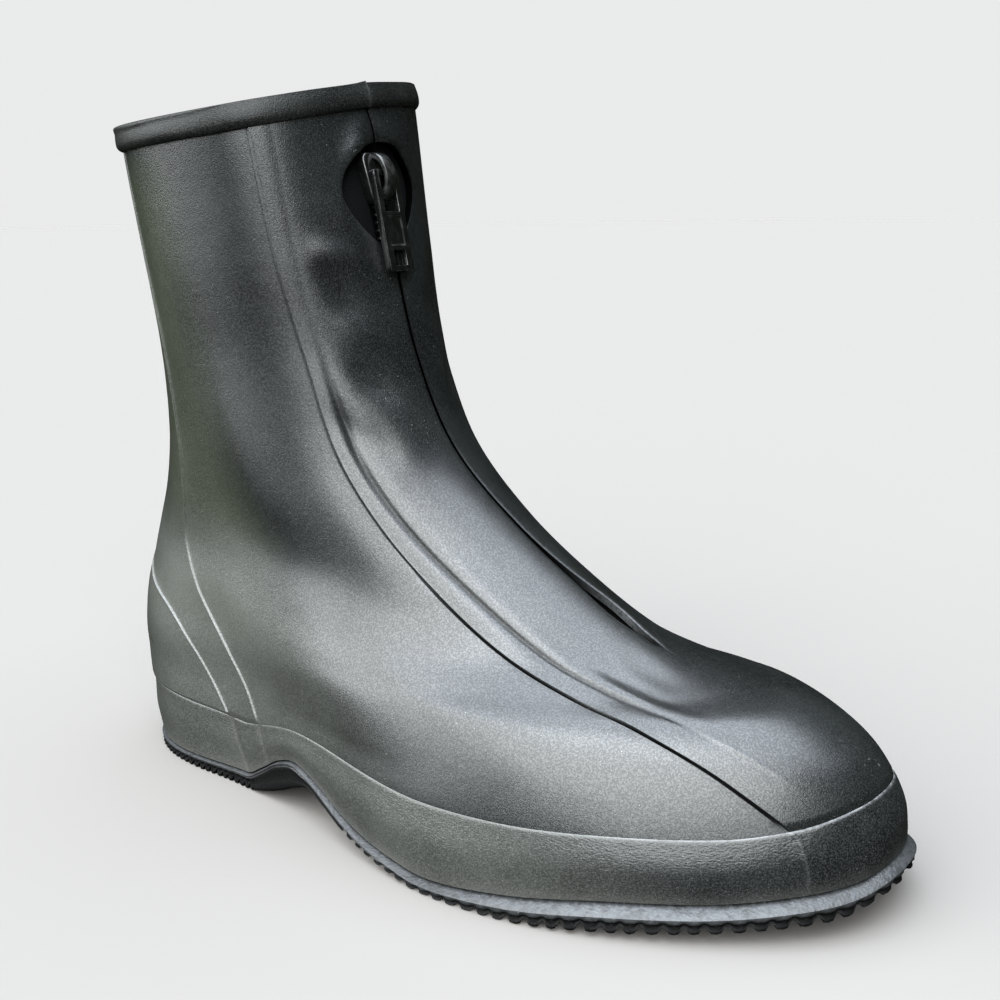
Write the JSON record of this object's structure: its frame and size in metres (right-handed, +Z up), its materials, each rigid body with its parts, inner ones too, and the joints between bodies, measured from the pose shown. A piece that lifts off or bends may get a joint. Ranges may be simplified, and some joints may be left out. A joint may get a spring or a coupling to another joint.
{
  "type": "zip-front rubber overshoe boot",
  "caption": "Black rubber overshoe for the right foot: hollow ankle-high upper on a lugged outsole, rubber foxing, banded collar and a front zip with a swinging pull tab.",
  "frame": {"origin": "middle of the boot's box on the floor that the sole stands on", "axes": "+X toward the toe, +Y toward the medial side, +Z up"},
  "size_m": [0.3098, 0.1184, 0.254],
  "materials": {
    "upper_rubber": "black rubber, satin, fine pebbled grain",
    "foxing_rubber": "black rubber, duller, wrinkled grain",
    "collar_rubber": "black rubber, smooth satin",
    "sole_rubber": "black rubber, matt, worn grey along the edge",
    "zip_tape": "black woven tape",
    "zip_chain": "black moulded plastic",
    "zip_metal": "gloss black enamel"
  },
  "bodies": {
    "boot": {"outsole": "sole_rubber", "upper": "upper_rubber", "foxing": "foxing_rubber", "collar_band": "collar_rubber", "zip_tape": "zip_tape", "zip_chain": "zip_chain", "zip_slider": "zip_metal"},
    "pull_tab": {"zip_pull": "zip_metal"}
  },
  "joints": [
    {"name": "pull_tab_hinge", "type": "hinge", "parent": "boot", "child": "pull_tab", "pos_m": [-0.031, 0.00329, 0.22159], "axis": [0, -1, 0], "range_deg": [0, 150]}
  ]
}
